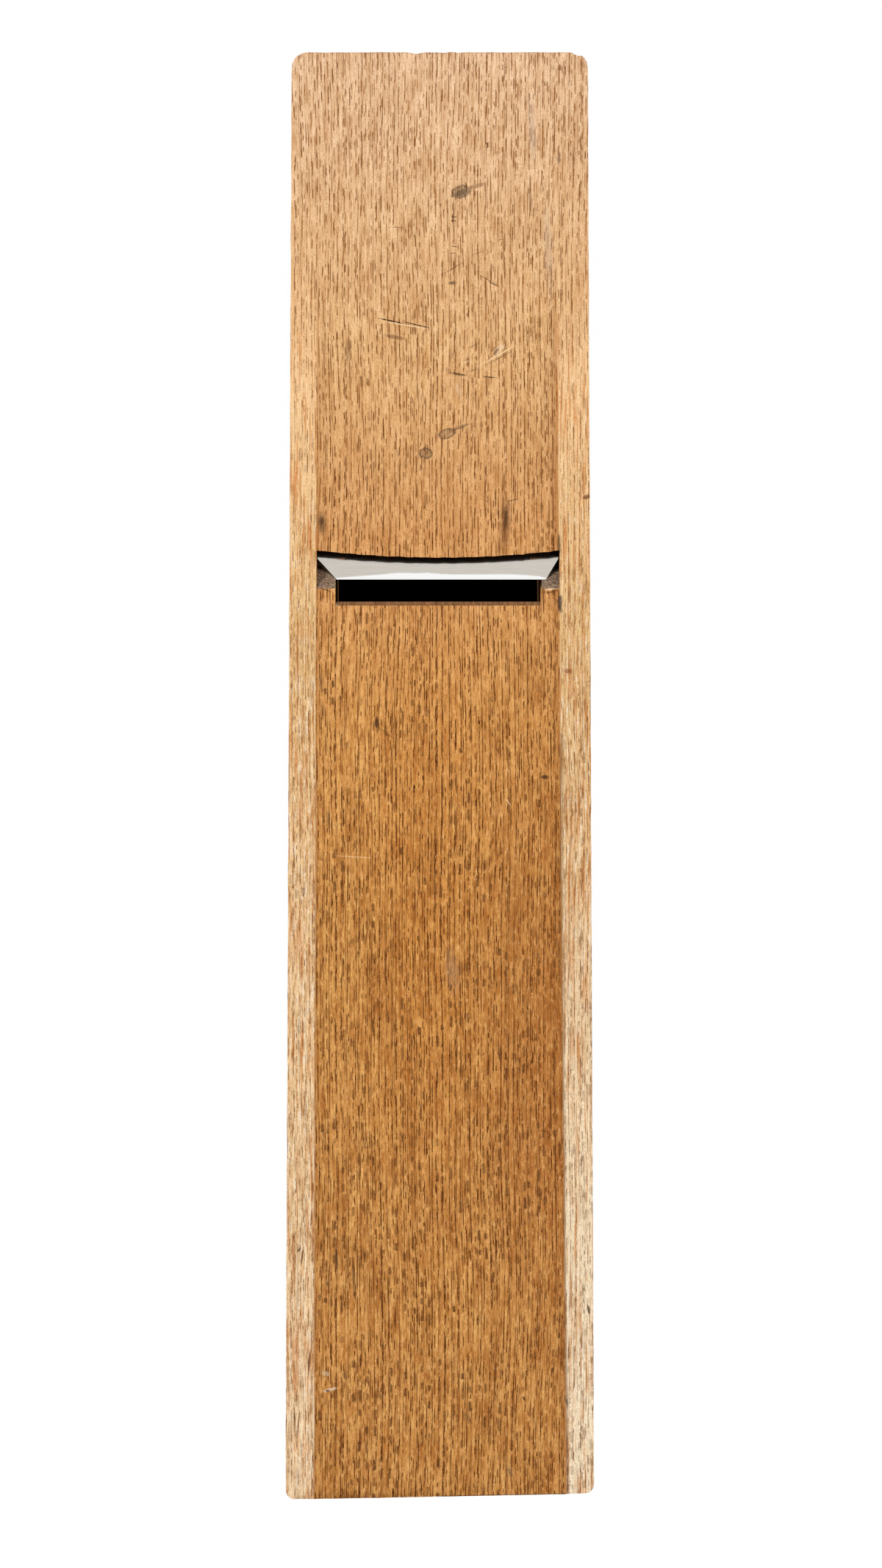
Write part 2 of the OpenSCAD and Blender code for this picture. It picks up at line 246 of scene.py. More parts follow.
# The marks of use on the sole. The ends are pixels of the photograph, and half is half the width in mm.
soleMarks = [
    {"what": "tar stain", "ends": ((622, 263), (632, 259)), "half": 2.0, "tone": "#3b2d24", "strength": 0.9,
     "soft": 0.3, "rimmed": True},
    {"what": "its middle", "ends": ((622, 264), (632, 260)), "half": 1.2, "tone": "#3b2d24", "strength": 0.6},
    {"what": "its tail", "ends": ((634, 257), (662, 249)), "half": 0.7, "tone": "#8a6240", "strength": 0.6},
    {"what": "drop", "ends": ((602, 592), (614, 588)), "half": 1.5, "tone": "#5f4736", "strength": 0.85,
     "soft": 0.2, "rimmed": True},
    {"what": "its tail", "ends": ((612, 587), (640, 576)), "half": 0.5, "tone": "#6b4f3a", "strength": 0.65},
    {"what": "drop", "ends": ((577, 616), (582, 617)), "half": 1.6, "tone": "#54402f", "strength": 0.9,
     "soft": 0.2, "rimmed": True},
    {"what": "crack", "ends": ((511, 432), (553, 441)), "half": 0.22, "tone": "#2c1508", "strength": 1.0},
    {"what": "crack", "ends": ((546, 437), (588, 447)), "half": 0.18, "tone": "#3c1f0e", "strength": 1.0},
    {"what": "lifted fibre", "ends": ((520, 437), (586, 448)), "half": 0.22, "tone": "#f3d3a4", "strength": 0.7},
    {"what": "bruise", "ends": ((523, 456), (551, 461)), "half": 0.7, "tone": "#6b4426", "strength": 0.6},
    {"what": "bruise", "ends": ((473, 462), (474, 492)), "half": 1.2, "tone": "#6b4426", "strength": 0.4},
    {"what": "ladder mark", "ends": ((617, 268), (617, 312)), "half": 0.14, "tone": "#3e2413", "strength": 0.9},
    {"what": "ladder rung", "ends": ((613, 295), (622, 295)), "half": 0.16, "tone": "#3e2413", "strength": 0.9},
    {"what": "ladder rung", "ends": ((613, 300), (622, 301)), "half": 0.16, "tone": "#3e2413", "strength": 0.9},
    {"what": "ladder rung", "ends": ((613, 335), (624, 336)), "half": 0.16, "tone": "#4e2f18", "strength": 0.8},
    {"what": "ladder mark", "ends": ((614, 342), (614, 372)), "half": 0.14, "tone": "#3e2413", "strength": 0.9},
    {"what": "ladder mark", "ends": ((619, 344), (619, 374)), "half": 0.14, "tone": "#3e2413", "strength": 0.8},
    {"what": "ladder rung", "ends": ((611, 345), (622, 344)), "half": 0.14, "tone": "#4e2f18", "strength": 0.8},
    {"what": "ladder foot", "ends": ((611, 385), (620, 385)), "half": 0.6, "tone": "#4e3522", "strength": 0.7},
    {"what": "scratch", "ends": ((600, 375), (634, 354)), "half": 0.16, "tone": "#6b4426", "strength": 0.8},
    {"what": "scratch", "ends": ((640, 348), (662, 340)), "half": 0.14, "tone": "#7b5231", "strength": 0.7},
    {"what": "scratch", "ends": ((648, 372), (678, 388)), "half": 0.16, "tone": "#6b4426", "strength": 0.7},
    {"what": "scratch", "ends": ((664, 383), (679, 390)), "half": 0.25, "tone": "#5b3719", "strength": 0.8},
    {"what": "scratch", "ends": ((531, 309), (552, 310)), "half": 0.13, "tone": "#5b3719", "strength": 0.7},
    {"what": "scratch", "ends": ((676, 327), (686, 325)), "half": 0.16, "tone": "#5b3719", "strength": 0.8},
    {"what": "pale graze", "ends": ((652, 498), (704, 468)), "half": 0.3, "tone": "#f0cfa0", "strength": 0.7},
    {"what": "graze", "ends": ((664, 495), (700, 476)), "half": 0.2, "tone": "#77512c", "strength": 0.7},
    {"what": "pale dent", "ends": ((674, 480), (684, 470)), "half": 1.0, "tone": "#eccfa8", "strength": 0.55},
    {"what": "dent", "ends": ((672, 482), (678, 474)), "half": 0.5, "tone": "#63422a", "strength": 0.7},
    {"what": "dent", "ends": ((612, 507), (636, 511)), "half": 0.42, "tone": "#4a3022", "strength": 0.8},
    {"what": "scuff", "ends": ((612, 488), (620, 476)), "half": 0.8, "tone": "#7b5638", "strength": 0.4, "soft": 1.0},
    {"what": "scuff", "ends": ((606, 500), (610, 506)), "half": 0.9, "tone": "#8a6244", "strength": 0.4, "soft": 1.0},
    {"what": "pale scuff", "ends": ((622, 520), (626, 540)), "half": 1.2, "tone": "#e8c9a2", "strength": 0.4,
     "soft": 1.0},
    {"what": "dent", "ends": ((655, 512), (676, 514)), "half": 0.3, "tone": "#4a3022", "strength": 0.8},
    {"what": "scratch", "ends": ((683, 684), (706, 678)), "half": 0.16, "tone": "#4a2c16", "strength": 0.8},
    {"what": "smear", "ends": ((688, 672), (685, 760)), "half": 2.3, "tone": "#85552e", "strength": 0.95, "soft": 1.0},
    {"what": "smear", "ends": ((690, 680), (687, 728)), "half": 1.2, "tone": "#4a2f1c", "strength": 0.9, "soft": 1.0},
    {"what": "smear", "ends": ((680, 724), (678, 762)), "half": 0.7, "tone": "#6b4426", "strength": 0.6, "soft": 1.0},
    {"what": "smear", "ends": ((437, 698), (438, 724)), "half": 1.9, "tone": "#5b3e26", "strength": 1.0, "soft": 1.0},
    {"what": "groove dirt", "ends": ((760, 722), (761, 760)), "half": 0.5, "tone": "#2f1d12", "strength": 0.7},
    {"what": "torn fibre", "ends": ((434, 796), (457, 801)), "half": 0.3, "tone": "#f4d9ae", "strength": 0.7},
    {"what": "torn edge", "ends": ((434, 800), (452, 805)), "half": 0.25, "tone": "#5b3719", "strength": 0.8},
    {"what": "torn fibre", "ends": ((739, 803), (762, 799)), "half": 0.3, "tone": "#f4d9ae", "strength": 0.7},
    {"what": "torn edge", "ends": ((742, 807), (762, 803)), "half": 0.25, "tone": "#5b3719", "strength": 0.8},
    {"what": "scuff", "ends": ((636, 474), (650, 468)), "half": 0.5, "tone": "#7b5638", "strength": 0.5, "soft": 1.0},
    {"what": "scuff", "ends": ((626, 496), (640, 490)), "half": 0.4, "tone": "#f0cfa0", "strength": 0.6, "soft": 1.0},
    {"what": "scuff", "ends": ((640, 505), (652, 500)), "half": 0.5, "tone": "#7b5638", "strength": 0.5, "soft": 1.0},
    {"what": "blue stain", "ends": ((761, 808), (762, 834)), "half": 0.8, "tone": "#40312b", "strength": 0.85},
    {"what": "pin knot", "ends": ((770, 913), (776, 913)), "half": 0.8, "tone": "#8a5230", "strength": 0.7},
    {"what": "pin knot", "ends": ((738, 1057), (744, 1057)), "half": 0.75, "tone": "#4a2c18", "strength": 0.85},
    {"what": "pin knot", "ends": ((794, 677), (802, 675)), "half": 0.7, "tone": "#6d4023", "strength": 0.8},
    {"what": "drip", "ends": ((512, 975), (513, 992)), "half": 0.7, "tone": "#452a16", "strength": 0.9},
    {"what": "its trail", "ends": ((513, 988), (540, 1008)), "half": 0.3, "tone": "#6b4426", "strength": 0.5},
    {"what": "smear", "ends": ((436, 915), (437, 940)), "half": 1.0, "tone": "#4f3822", "strength": 0.6, "soft": 1.0},
    {"what": "smear", "ends": ((439, 950), (440, 985)), "half": 0.9, "tone": "#4f3822", "strength": 0.5, "soft": 1.0},
    {"what": "smear", "ends": ((446, 1098), (447, 1130)), "half": 0.8, "tone": "#4f3822", "strength": 0.6, "soft": 1.0},
    {"what": "smear", "ends": ((492, 1062), (488, 1096)), "half": 0.6, "tone": "#5b3a22", "strength": 0.6, "soft": 1.0},
    {"what": "faint scratch", "ends": ((452, 1164), (510, 1167)), "half": 0.14, "tone": "#f2cf9c", "strength": 0.6},
    {"what": "faint scratch", "ends": ((688, 1085), (695, 1097)), "half": 0.14, "tone": "#f7dab0", "strength": 0.7},
    {"what": "split", "ends": ((413, 1696), (409, 1724)), "half": 0.35, "tone": "#6f4a28", "strength": 0.9},
    {"what": "split", "ends": ((404, 1704), (409, 1698)), "half": 0.3, "tone": "#4a2f1a", "strength": 0.8},
    {"what": "splinter", "ends": ((417, 1690), (414, 1740)), "half": 0.35, "tone": "#f6dfba", "strength": 0.8},
    {"what": "split", "ends": ((422, 1834), (419, 1874)), "half": 0.4, "tone": "#6b4220", "strength": 0.85},
    {"what": "splinter", "ends": ((426, 1850), (427, 1990)), "half": 0.3, "tone": "#fbe6c4", "strength": 0.8},
    {"what": "split", "ends": ((399, 1912), (404, 1976)), "half": 0.4, "tone": "#6f4a28", "strength": 0.85},
    {"what": "split", "ends": ((408, 1916), (403, 1960)), "half": 0.3, "tone": "#7f5630", "strength": 0.8},
    {"what": "splinter", "ends": ((412, 1912), (409, 1970)), "half": 0.4, "tone": "#f3d8b0", "strength": 0.7},
    {"what": "grime", "ends": ((444, 1743), (446, 1749)), "half": 0.8, "tone": "#3b2a1c", "strength": 0.75, "soft": 1.0},
    {"what": "grime", "ends": ((457, 1690), (459, 1738)), "half": 0.7, "tone": "#4a3826", "strength": 0.7, "soft": 1.0},
    {"what": "grime", "ends": ((480, 1710), (483, 1768)), "half": 0.7, "tone": "#3f2d1d", "strength": 0.7, "soft": 1.0},
    {"what": "grime", "ends": ((495, 1698), (497, 1716)), "half": 0.7, "tone": "#3a2a20", "strength": 0.75, "soft": 1.0},
    {"what": "grime", "ends": ((468, 1868), (471, 1876)), "half": 0.9, "tone": "#5a4030", "strength": 0.6, "soft": 1.0},
    {"what": "pale nick", "ends": ((440, 1893), (458, 1888)), "half": 0.55, "tone": "#d9c0a4", "strength": 0.7},
    {"what": "its pit", "ends": ((444, 1892), (448, 1892)), "half": 0.3, "tone": "#33241a", "strength": 0.9},
    {"what": "pale spot", "ends": ((440, 1868), (447, 1869)), "half": 0.8, "tone": "#d0b596", "strength": 0.5},
    {"what": "grime", "ends": ((632, 1922), (640, 1936)), "half": 1.2, "tone": "#54402f", "strength": 0.5, "soft": 1.0},
    {"what": "grime", "ends": ((690, 1996), (697, 2008)), "half": 1.2, "tone": "#5a4a40", "strength": 0.55, "soft": 1.0},
    {"what": "grime", "ends": ((769, 1900), (773, 1914)), "half": 0.8, "tone": "#473a30", "strength": 0.7, "soft": 1.0},
    {"what": "grime", "ends": ((800, 1776), (802, 1788)), "half": 0.45, "tone": "#3a2716", "strength": 0.85},
    {"what": "grime", "ends": ((515, 1893), (520, 1905)), "half": 0.8, "tone": "#4d3826", "strength": 0.6, "soft": 1.0},
    {"what": "grime", "ends": ((712, 1900), (714, 1905)), "half": 0.4, "tone": "#2e1c10", "strength": 0.85},
    {"what": "grey bloom", "ends": ((722, 120), (726, 232)), "half": 1.5, "tone": "#c9b8a6", "strength": 0.4, "soft": 1.0},
    {"what": "grey bloom", "ends": ((742, 250), (750, 420)), "half": 2.0, "tone": "#bfa890", "strength": 0.35, "soft": 1.0},
    {"what": "grey bloom", "ends": ((612, 1290), (618, 1350)), "half": 3.0, "tone": "#a08468", "strength": 0.35, "soft": 1.0},
    {"what": "brown streak", "ends": ((721, 232), (722, 300)), "half": 0.4, "tone": "#6b4426", "strength": 0.6},
    {"what": "brown streak", "ends": ((761, 208), (760, 224)), "half": 0.6, "tone": "#5b3a22", "strength": 0.6},
    {"what": "brown streak", "ends": ((781, 190), (780, 232)), "half": 1.0, "tone": "#8a5e36", "strength": 0.5, "soft": 1.0},
]


# How far a place is inside a soft oval on the sole: 1 in its middle and 0 past its edge.
# reach is (along, across) in metres, and turn tilts it, in degrees.
def oval(tree, place, centre, reach, turn=0.0, soft=0.6, ragged=None, rimmed=False):
    angle = math.radians(turn)
    moved = addNode(tree, "ShaderNodeVectorMath", {0: place, 1: (*centre, 0)}, operation="SUBTRACT").outputs[0]
    turned = addNode(tree, "ShaderNodeVectorRotate", {0: moved, "Angle": -angle}, rotation_type="Z_AXIS").outputs[0]
    scale = (1 / reach[0], 1 / reach[1], 0)
    part = addNode(tree, "ShaderNodeVectorMath", {0: turned, 1: scale}, operation="MULTIPLY").outputs[0]
    radius = addNode(tree, "ShaderNodeVectorMath", {0: part}, operation="LENGTH").outputs["Value"]
    if ragged is not None:
        radius = maths(tree, "ADD", radius, ragged)
    inside = smoothStep(tree, radius, 1.0, 1.0 - soft)
    if not rimmed:
        return inside
    # A dried drop is darkest round its rim.
    return maths(tree, "MULTIPLY", inside, smoothStep(tree, radius, 0.5, 0.9, 0.55, 0.45))


def stain(tree, base, amount, strength, code):
    return mixColour(tree, maths(tree, "MULTIPLY", amount, strength), base, colour(code))


def addMarks(tree, place, base, ragged):
    for mark in soleMarks:
        (x0, y0), (x1, y1) = [atPixel(*end) for end in mark["ends"]]
        half = mark["half"] / 1000
        reach = (math.hypot(x1 - x0, y1 - y0) / 2 + half, half)
        turn = math.degrees(math.atan2(y1 - y0, x1 - x0))
        middle = ((x0 + x1) / 2, (y0 + y1) / 2)
        rimmed = mark.get("rimmed", False)
        amount = oval(tree, place, middle, reach, turn, mark.get("soft", 0.5), ragged, rimmed)
        base = stain(tree, base, amount, mark["strength"], mark["tone"])
    return base


# The wood without its marks: the tone of the sole, of the strips beside it and of the handled sides.
def oakTone(tree, axes, place, mottle, clouds):
    look = oakLook
    along = multiplyAdd(tree, axes[0], 1 / look["length"], 0.5)
    sole = ramp(tree, along, look["sole"])
    # Past the mouth the middle is worn to a warmer tone, and the right side is darker.
    sole = stain(tree, sole, oval(tree, place, (0.04, 0.004), (0.13, 0.026), 0, 1.0), 0.5, look["worn"])
    darker = oval(tree, place, (0.075, -0.03), (0.12, 0.032), 0, 1.0)
    sole = mixColour(tree, maths(tree, "MULTIPLY", darker, 0.55), sole, colour(look["shade"]), "MULTIPLY")
    strip = ramp(tree, along, look["strip"])
    side = maths(tree, "ADD", maths(tree, "ABSOLUTE", axes[1]), multiplyAdd(tree, mottle, 0.0006, -0.0003))
    leftLine = multiplyAdd(tree, axes[0], *look["leftLine"])
    rightLine = multiplyAdd(tree, axes[0], *look["rightLine"])
    onRight = maths(tree, "LESS_THAN", axes[1], 0.0)
    line = maths(tree, "ADD", leftLine, maths(tree, "MULTIPLY", onRight, maths(tree, "SUBTRACT", rightLine, leftLine)))
    past = maths(tree, "SUBTRACT", side, line)
    beside = smoothStep(tree, past, -look["stripBlur"], look["stripBlur"])
    after = smoothStep(tree, axes[0], look["stripStart"], look["stripFull"])
    onStrip = maths(tree, "MULTIPLY", beside, after)
    # The left strip is torn up all along, and the right one only as far as its middle. Its torn fibres are darker and
    # its lifted ones paler, and this pair also paints the shade and highlights of the torn relief.
    right = smoothStep(tree, axes[1], 0.0, -0.01)
    smooth = maths(tree, "MULTIPLY", right, smoothStep(tree, axes[0], 0.045, 0.085, 0.85))
    rough = maths(tree, "MULTIPLY", smoothStep(tree, axes[0], -0.1, 0.02, 0.75, 0.25), multiplyAdd(tree, smooth, -1.0, 1.0))
    fibres = noise(tree, place, look["torn"], 4.0, 0.7)
    torn = ramp(tree, fibres, [(0.3, look["tornDarkAndShade"]), (0.46, "#ffffff")])
    strip = mixColour(tree, rough, strip, torn, "MULTIPLY")
    liftedAndLit = maths(tree, "MULTIPLY", smoothStep(tree, fibres, 0.52, 0.64), rough)
    strip = stain(tree, strip, liftedAndLit, 0.9, look["liftedAndLit"])
    strip = stain(tree, strip, maths(tree, "MULTIPLY", right, smoothStep(tree, axes[0], 0.0, 0.15, 0.8)), 1.0,
                  look["stripPale"])
    # Painted shade darkens the sole beside the step down to the strips, most on the right, in broken patches.
    stepSideShade = maths(tree, "MULTIPLY", smoothStep(tree, past, -0.0035, 0.0), multiplyAdd(tree, right, 0.4, 0.3))
    stepSideShade = maths(tree, "MULTIPLY", stepSideShade, smoothStep(tree, clouds, 0.35, 0.55, 0.7, 0.3))
    sole = stain(tree, sole, maths(tree, "MULTIPLY", stepSideShade, after), 0.75, look["soft"])
    base = mixColour(tree, onStrip, sole, strip)
    above = smoothStep(tree, axes[2], 0.0015, look["soleTop"], 0.8)
    base = mixColour(tree, above, base, colour(look["handled"]))
    onStrip = maths(tree, "MULTIPLY", onStrip, smoothStep(tree, axes[2], 0.0022, 0.0018))
    # The wood is evenly toned at the head end and blotchy towards the tail.
    plain = multiplyAdd(tree, onStrip, -0.75, 1.0)
    even = maths(tree, "MULTIPLY", plain, smoothStep(tree, axes[0], -0.12, 0.06, 0.6, 0.4))
    tone = ramp(tree, clouds, [(0.3, "#dccdb8"), (0.48, "#ffffff")])
    base = mixColour(tree, even, base, tone, "MULTIPLY")
    blotch = noise(tree, place, look["blotch"], 3.0, 0.6)
    tone = ramp(tree, blotch, [(0.34, "#d8bd97"), (0.56, "#ffffff")])
    base = mixColour(tree, maths(tree, "MULTIPLY", even, 0.7), base, tone, "MULTIPLY")
    fibre = noise(tree, place, look["fibre"], 2.0, 0.5)
    tone = ramp(tree, fibre, [(0.3, "#cdb08b"), (0.62, "#ffffff")])
    amount = maths(tree, "MULTIPLY", plain, smoothStep(tree, axes[0], -0.1, 0.05, 0.25, 0.5))
    base = mixColour(tree, amount, base, tone, "MULTIPLY")
    line = noise(tree, place, look["stripLine"], 3.0, 0.6)
    tone = ramp(tree, line, [(0.36, "#d99f63"), (0.5, "#ffffff")])
    base = mixColour(tree, maths(tree, "MULTIPLY", onStrip, 0.8), base, tone, "MULTIPLY")
    tone = ramp(tree, mottle, [(0.3, "#dfccb2"), (0.52, "#ffffff")])
    base = mixColour(tree, plain, base, tone, "MULTIPLY")
    tone = ramp(tree, noise(tree, place, look["grit"], 2.0, 0.5), [(0.3, "#ded1c2"), (0.56, "#ffffff")])
    base = mixColour(tree, 1.0, base, tone, "MULTIPLY")
    # A ragged brown band of painted shade lies in the step beside the strips, where they are deep.
    stepShade = maths(tree, "MULTIPLY", smoothStep(tree, maths(tree, "ABSOLUTE", past), 0.0004, 0.0001), after)
    stepShade = maths(tree, "MULTIPLY", stepShade, smoothStep(tree, axes[2], 0.0015, 0.0012))
    stepShade = maths(tree, "MULTIPLY", stepShade, multiplyAdd(tree, mottle, 1.2, 0.1))
    return stain(tree, base, stepShade, 0.9, look["step"]), onStrip


# White oak, planed and then worn by use. Its rays show as thin dark dashes on the sole,
# as broad flecks on the sides and as fine lines on the ends.
def oakMaterial():
    look = oakLook
    material, tree = newMaterial("planed white oak, worn")
    place = addNode(tree, "ShaderNodeTexCoord").outputs["Object"]
    axes = addNode(tree, "ShaderNodeSeparateXYZ", {0: place}).outputs
    grain = swayed(tree, place)
    clouds = noise(tree, grain, look["cloud"], 4.0, 0.6)
    mottle = noise(tree, grain, look["mottle"], 3.0, 0.6)
    dirt = noise(tree, grain, look["dirt"], 2.0, 0.5)
    ragged = multiplyAdd(tree, noise(tree, grain, look["ragged"], 2.0, 0.6), 3.0, -1.5)
    base, onStrip = oakTone(tree, axes, place, mottle, clouds)
    # The rays are faint on the sides, which they meet flat, and fainter on the newly cut strips.
    normal = addNode(tree, "ShaderNodeNewGeometry").outputs["Normal"]
    facing = maths(tree, "ABSOLUTE", addNode(tree, "ShaderNodeSeparateXYZ", {0: normal}).outputs[1])
    shown = maths(tree, "MULTIPLY", smoothStep(tree, facing, 0.7, 0.3), multiplyAdd(tree, onStrip, -0.6, 1.0))
    onSide = smoothStep(tree, facing, 0.3, 0.8)
    along = smoothStep(tree, noise(tree, grain, look["sideLine"], 4.0, 0.65), 0.46, 0.66)
    base = stain(tree, base, maths(tree, "MULTIPLY", along, onSide), 0.65, look["soft"])
    fleck = smoothStep(tree, noise(tree, grain, look["fleck"], 2.0, 0.5), 0.6, 0.66)
    base = stain(tree, base, maths(tree, "MULTIPLY", fleck, onSide), 0.28, look["pale"])
    smudge = smoothStep(tree, noise(tree, grain, look["smudge"], 2.0, 0.5), 0.5, 0.78)
    even = smoothStep(tree, axes[0], -0.12, 0.06, 0.6, 0.4)
    base = stain(tree, base, maths(tree, "MULTIPLY", maths(tree, "MULTIPLY", smudge, shown), even), 0.6, look["soft"])
    # Years of dirt and oil have left fuzzy dull patches on the worn half, between paler rubbed ones.
    old = maths(tree, "MULTIPLY", smoothStep(tree, axes[0], -0.12, 0.03), shown)
    fuzz = noise(tree, grain, look["fuzz"], 4.0, 0.7)
    base = stain(tree, base, maths(tree, "MULTIPLY", smoothStep(tree, fuzz, 0.5, 0.66), old), 0.5, look["dull"])
    base = stain(tree, base, maths(tree, "MULTIPLY", smoothStep(tree, fuzz, 0.48, 0.36), old), 0.35, look["rubbed"])
    pale, glow = rays(tree, grain, look["paleFleck"], 0.07, 0.16, ragged, 1.0)
    base = stain(tree, base, maths(tree, "MULTIPLY", pale, shown), 0.35, look["pale"])
    # Dirt lies in soft dark blots, in groups, mostly on the tail half.
    grouped = smoothStep(tree, maths(tree, "ADD", dirt, maths(tree, "MULTIPLY", axes[0], 0.6)), 0.5, 0.62)
    spots, glow = rays(tree, grain, look["blots"], 0.19, 0.6, ragged, 7.0)
    spots = maths(tree, "MULTIPLY", maths(tree, "MULTIPLY", spots, grouped), shown)
    glow = maths(tree, "MULTIPLY", maths(tree, "MULTIPLY", glow, grouped), shown)
    base = stain(tree, base, glow, 0.55, look["soft"])
    base = stain(tree, base, spots, 0.85, look["grime"])
    # Dirt has filled the rays of the worn tail half, so they are darkest and widest there.
    filled = smoothStep(tree, axes[0], -0.18, -0.01, 0.8, 0.15)
    wider = maths(tree, "ADD", ragged, multiplyAdd(tree, filled, 0.15, 0.2))
    wider = maths(tree, "SUBTRACT", wider, maths(tree, "MULTIPLY", onStrip, 0.3))
    broken = smoothStep(tree, noise(tree, grain, look["broken"], 2.0, 0.5), 0.34, 0.52, 0.6, 0.4)
    broken = maths(tree, "MULTIPLY", broken, smoothStep(tree, facing, 0.7, 0.3))
    # The rays are denser in some places than in others.
    dense = smoothStep(tree, noise(tree, grain, look["dense"], 3.0, 0.6), 0.36, 0.54, 0.65, 0.35)
    broken = maths(tree, "MULTIPLY", broken, dense)
    broken = maths(tree, "MULTIPLY", broken, multiplyAdd(tree, onStrip, -0.15, 1.0))
    darkened = maths(tree, "MULTIPLY", filled, multiplyAdd(tree, onStrip, -0.6, 1.0))
    sunk = 0.0
    for layer in rayLayers:
        core, halo = rays(tree, grain, layer["cell"], layer["half"], layer["share"], wider, layer["seed"])
        fades = smoothStep(tree, axes[0], -0.1, 0.02, 1 - layer["atHead"], layer["atHead"])
        core = maths(tree, "MULTIPLY", maths(tree, "MULTIPLY", core, fades), broken)
        halo = maths(tree, "MULTIPLY", maths(tree, "MULTIPLY", halo, fades), shown)
        base = stain(tree, base, halo, layer["halo"], look["soft"])
        base = stain(tree, base, core, layer["core"], look["brown"])
        base = stain(tree, base, maths(tree, "MULTIPLY", core, darkened), layer["filled"], look["dark"])
        sunk = maths(tree, "MAXIMUM", sunk, maths(tree, "MULTIPLY", core, layer["deep"]))
    # The marks are on the sole alone.
    onSole = smoothStep(tree, axes[2], 0.0020, 0.0016)
    marked = addMarks(tree, place, base, multiplyAdd(tree, noise(tree, grain, look["blot"], 2.0, 0.5), 0.7, -0.35))
    base = mixColour(tree, onSole, base, marked)
    splinters = maths(tree, "MULTIPLY", noise(tree, place, look["splinter"], 4.0, 0.6), onStrip)
    splinters = maths(tree, "MULTIPLY", splinters, smoothStep(tree, axes[0], -0.1, 0.1, 5.0, 1.0))
    height = maths(tree, "SUBTRACT", multiplyAdd(tree, mottle, 0.8, splinters), sunk)
    inputs = {"Base Color": base, "Roughness": 0.65, "Specular IOR Level": 0.06}
    finishMaterial(tree, inputs, height, 0.4, 0.00012)
    return material


# The walls of the mouth and throat are chiselled across the grain, and brown with age and oil; painted shade darkens
# them low down round the mouth.
def throatMaterial():
    look = oakLook
    material, tree = newMaterial("chiselled white oak, oiled")
    place = addNode(tree, "ShaderNodeTexCoord").outputs["Object"]
    fibre = noise(tree, place, look["cut"], 3.0, 0.6)
    base = ramp(tree, fibre, [(0.3, look["throatDark"]), (0.65, look["throat"])])
    # Painted shade, near black, darkens the side walls and the bed's lower end, low down.
    axes = addNode(tree, "ShaderNodeSeparateXYZ", {0: place}).outputs
    normal = addNode(tree, "ShaderNodeNewGeometry").outputs["Normal"]
    facing = maths(tree, "ABSOLUTE", addNode(tree, "ShaderNodeSeparateXYZ", {0: normal}).outputs[1])
    throatShade = maths(tree, "MAXIMUM", smoothStep(tree, facing, 0.8, 0.95), smoothStep(tree, axes[0], -0.0505, -0.0525))
    throatShade = maths(tree, "MULTIPLY", throatShade, smoothStep(tree, axes[2], 0.016, 0.007, 0.95))
    # Beside the mouth the painted shade on the side walls reaches further up.
    sideWallShade = maths(tree, "MULTIPLY", smoothStep(tree, facing, 0.8, 0.95), smoothStep(tree, axes[0], -0.066, -0.060))
    sideWallShade = maths(tree, "MULTIPLY", sideWallShade, smoothStep(tree, axes[2], 0.037, 0.020, 0.95))
    throatShade = maths(tree, "MAXIMUM", throatShade, sideWallShade)
    base = mixColour(tree, throatShade, base, colour(look["throatShade"]))
    # The lower ends of the side grooves are rough, and grey from the iron.
    rough = ramp(tree, noise(tree, place, look["scuff"], 4.0, 0.7), [(0.38, "#5e483a"), (0.5, "#85705f"), (0.62, "#a98b70")])
    side = smoothStep(tree, maths(tree, "ABSOLUTE", axes[1]), 0.0276, 0.0280)
    low = maths(tree, "MULTIPLY", side, smoothStep(tree, axes[2], 0.0052, 0.0040))
    low = maths(tree, "MULTIPLY", low, smoothStep(tree, axes[0], -0.0588, -0.0580))
    low = maths(tree, "MULTIPLY", low, smoothStep(tree, facing, 0.95, 0.8))
    base = mixColour(tree, low, base, rough)
    facets = noise(tree, place, look["chisel"], 1.0, 0.4)
    finishMaterial(tree, {"Base Color": base, "Roughness": 0.8, "Specular IOR Level": 0.0}, facets, 0.6, 0.0004)
    return material


metalLooks = {
    "forged iron with scale": {"dark": "#3b3735", "light": "#57514d", "metallic": 0.75, "roughness": 0.5,
                               "cell": (0.005, 0.005, 0.005), "bump": 0.3},
    "polished hard steel": {"dark": "#858582", "light": "#a3a3a0", "metallic": 1.0, "roughness": 0.3,
                            "cell": (0.008, 0.0004, 0.008), "bump": 0.1},
    "drawn steel rod": {"dark": "#6f6b67", "light": "#9d9994", "metallic": 0.95, "roughness": 0.35,
                        "cell": (0.0008, 0.01, 0.0008), "bump": 0.15},
}


# Metal with a fine grain of scratches or scale, of the given cell.
def metalMaterial(name):
    look = metalLooks[name]
    material, tree = newMaterial(name)
    place = addNode(tree, "ShaderNodeTexCoord").outputs["Object"]
    grain = noise(tree, place, look["cell"], 5.0, 0.65)
    base = ramp(tree, grain, [(0.3, look["dark"]), (0.7, look["light"])])
    inputs = {"Base Color": base, "Metallic": look["metallic"], "Roughness": look["roughness"]}
    finishMaterial(tree, inputs, grain, look["bump"], 0.0001)
    return material


